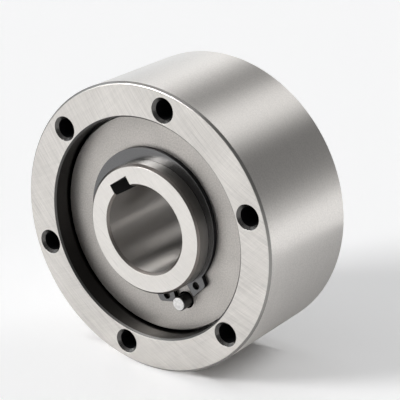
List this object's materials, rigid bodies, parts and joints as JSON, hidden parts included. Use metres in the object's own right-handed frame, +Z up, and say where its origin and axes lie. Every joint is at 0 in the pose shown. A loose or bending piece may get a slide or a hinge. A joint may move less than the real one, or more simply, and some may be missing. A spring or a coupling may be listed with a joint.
{
  "type": "one-way clutch bearing",
  "caption": "Roller freewheel with a thick bolted outer ring that overruns one way on a keyed inner ring, closed by plates held with circlips and pins.",
  "frame": {"origin": "centre of the freewheel, on the shaft axis, midway between the two faces", "axes": "Y along the shaft with the front face towards -Y, +Z up, +X right as seen from the front"},
  "size_m": [0.1, 0.044, 0.1],
  "materials": {
    "ground_ring": "ground steel with fine straight grinding lines on the faces and a satin rim",
    "ground_hub": "hardened steel, ground nose, polished bore and journal",
    "matt_plate": "matt blasted steel",
    "dark_spring_steel": "blackened spring steel, slightly glossy",
    "bright_pin": "bright ground dowel with a mottled end",
    "polished_roller": "polished bearing steel",
    "plunger_steel": "turned steel",
    "spring_wire": "drawn spring wire"
  },
  "bodies": {
    "inner": {"inner_ring": "ground_hub", "front_plate": "matt_plate", "rear_plate": "matt_plate", "front_circlip": "dark_spring_steel", "rear_circlip": "dark_spring_steel", "front_pin": "bright_pin", "rear_pin": "bright_pin", "spring_1": "spring_wire", "spring_2": "spring_wire", "spring_3": "spring_wire", "spring_4": "spring_wire", "spring_5": "spring_wire", "spring_6": "spring_wire", "spring_7": "spring_wire", "spring_8": "spring_wire"},
    "outer": {"outer_ring": "ground_ring"},
    "plunger_1": {"plunger_1": "plunger_steel"},
    "roller_1": {"roller_1": "polished_roller"},
    "plunger_2": {"plunger_2": "plunger_steel"},
    "roller_2": {"roller_2": "polished_roller"},
    "plunger_3": {"plunger_3": "plunger_steel"},
    "roller_3": {"roller_3": "polished_roller"},
    "plunger_4": {"plunger_4": "plunger_steel"},
    "roller_4": {"roller_4": "polished_roller"},
    "plunger_5": {"plunger_5": "plunger_steel"},
    "roller_5": {"roller_5": "polished_roller"},
    "plunger_6": {"plunger_6": "plunger_steel"},
    "roller_6": {"roller_6": "polished_roller"},
    "plunger_7": {"plunger_7": "plunger_steel"},
    "roller_7": {"roller_7": "polished_roller"},
    "plunger_8": {"plunger_8": "plunger_steel"},
    "roller_8": {"roller_8": "polished_roller"}
  },
  "joints": [
    {"name": "overrun", "type": "hinge", "parent": "inner", "child": "outer", "pos_m": [0, 0, 0], "axis": [0, 1, 0], "range_deg": [0, 330]},
    {"name": "release_1", "type": "slide", "parent": "inner", "child": "plunger_1", "axis": [-0.9997, 0, 0.0244], "range_m": [0, 0.0012], "stiffness_N_per_m": 1000, "springref_m": -0.002, "deforming": ["spring_1"]},
    {"name": "roll_1", "type": "hinge", "parent": "plunger_1", "child": "roller_1", "pos_m": [0.0024, 0, -0.02989], "axis": [0, 1, 0], "continuous": true},
    {"name": "release_2", "type": "slide", "parent": "inner", "child": "plunger_2", "axis": [-0.7242, 0, -0.6896], "range_m": [0, 0.0012], "stiffness_N_per_m": 1000, "springref_m": -0.002, "deforming": ["spring_2"]},
    {"name": "roll_2", "type": "hinge", "parent": "plunger_2", "child": "roller_2", "pos_m": [0.02283, 0, -0.01943], "axis": [0, 1, 0], "continuous": true},
    {"name": "release_3", "type": "slide", "parent": "inner", "child": "plunger_3", "axis": [-0.0244, 0, -0.9997], "range_m": [0, 0.0012], "stiffness_N_per_m": 1000, "springref_m": -0.002, "deforming": ["spring_3"]},
    {"name": "roll_3", "type": "hinge", "parent": "plunger_3", "child": "roller_3", "pos_m": [0.02989, 0, 0.0024], "axis": [0, 1, 0], "continuous": true},
    {"name": "release_4", "type": "slide", "parent": "inner", "child": "plunger_4", "axis": [0.6896, 0, -0.7242], "range_m": [0, 0.0012], "stiffness_N_per_m": 1000, "springref_m": -0.002, "deforming": ["spring_4"]},
    {"name": "roll_4", "type": "hinge", "parent": "plunger_4", "child": "roller_4", "pos_m": [0.01943, 0, 0.02283], "axis": [0, 1, 0], "continuous": true},
    {"name": "release_5", "type": "slide", "parent": "inner", "child": "plunger_5", "axis": [0.9997, 0, -0.0244], "range_m": [0, 0.0012], "stiffness_N_per_m": 1000, "springref_m": -0.002, "deforming": ["spring_5"]},
    {"name": "roll_5", "type": "hinge", "parent": "plunger_5", "child": "roller_5", "pos_m": [-0.0024, 0, 0.02989], "axis": [0, 1, 0], "continuous": true},
    {"name": "release_6", "type": "slide", "parent": "inner", "child": "plunger_6", "axis": [0.7242, 0, 0.6896], "range_m": [0, 0.0012], "stiffness_N_per_m": 1000, "springref_m": -0.002, "deforming": ["spring_6"]},
    {"name": "roll_6", "type": "hinge", "parent": "plunger_6", "child": "roller_6", "pos_m": [-0.02283, 0, 0.01943], "axis": [0, 1, 0], "continuous": true},
    {"name": "release_7", "type": "slide", "parent": "inner", "child": "plunger_7", "axis": [0.0244, 0, 0.9997], "range_m": [0, 0.0012], "stiffness_N_per_m": 1000, "springref_m": -0.002, "deforming": ["spring_7"]},
    {"name": "roll_7", "type": "hinge", "parent": "plunger_7", "child": "roller_7", "pos_m": [-0.02989, 0, -0.0024], "axis": [0, 1, 0], "continuous": true},
    {"name": "release_8", "type": "slide", "parent": "inner", "child": "plunger_8", "axis": [-0.6896, 0, 0.7242], "range_m": [0, 0.0012], "stiffness_N_per_m": 1000, "springref_m": -0.002, "deforming": ["spring_8"]},
    {"name": "roll_8", "type": "hinge", "parent": "plunger_8", "child": "roller_8", "pos_m": [-0.01943, 0, -0.02283], "axis": [0, 1, 0], "continuous": true}
  ]
}
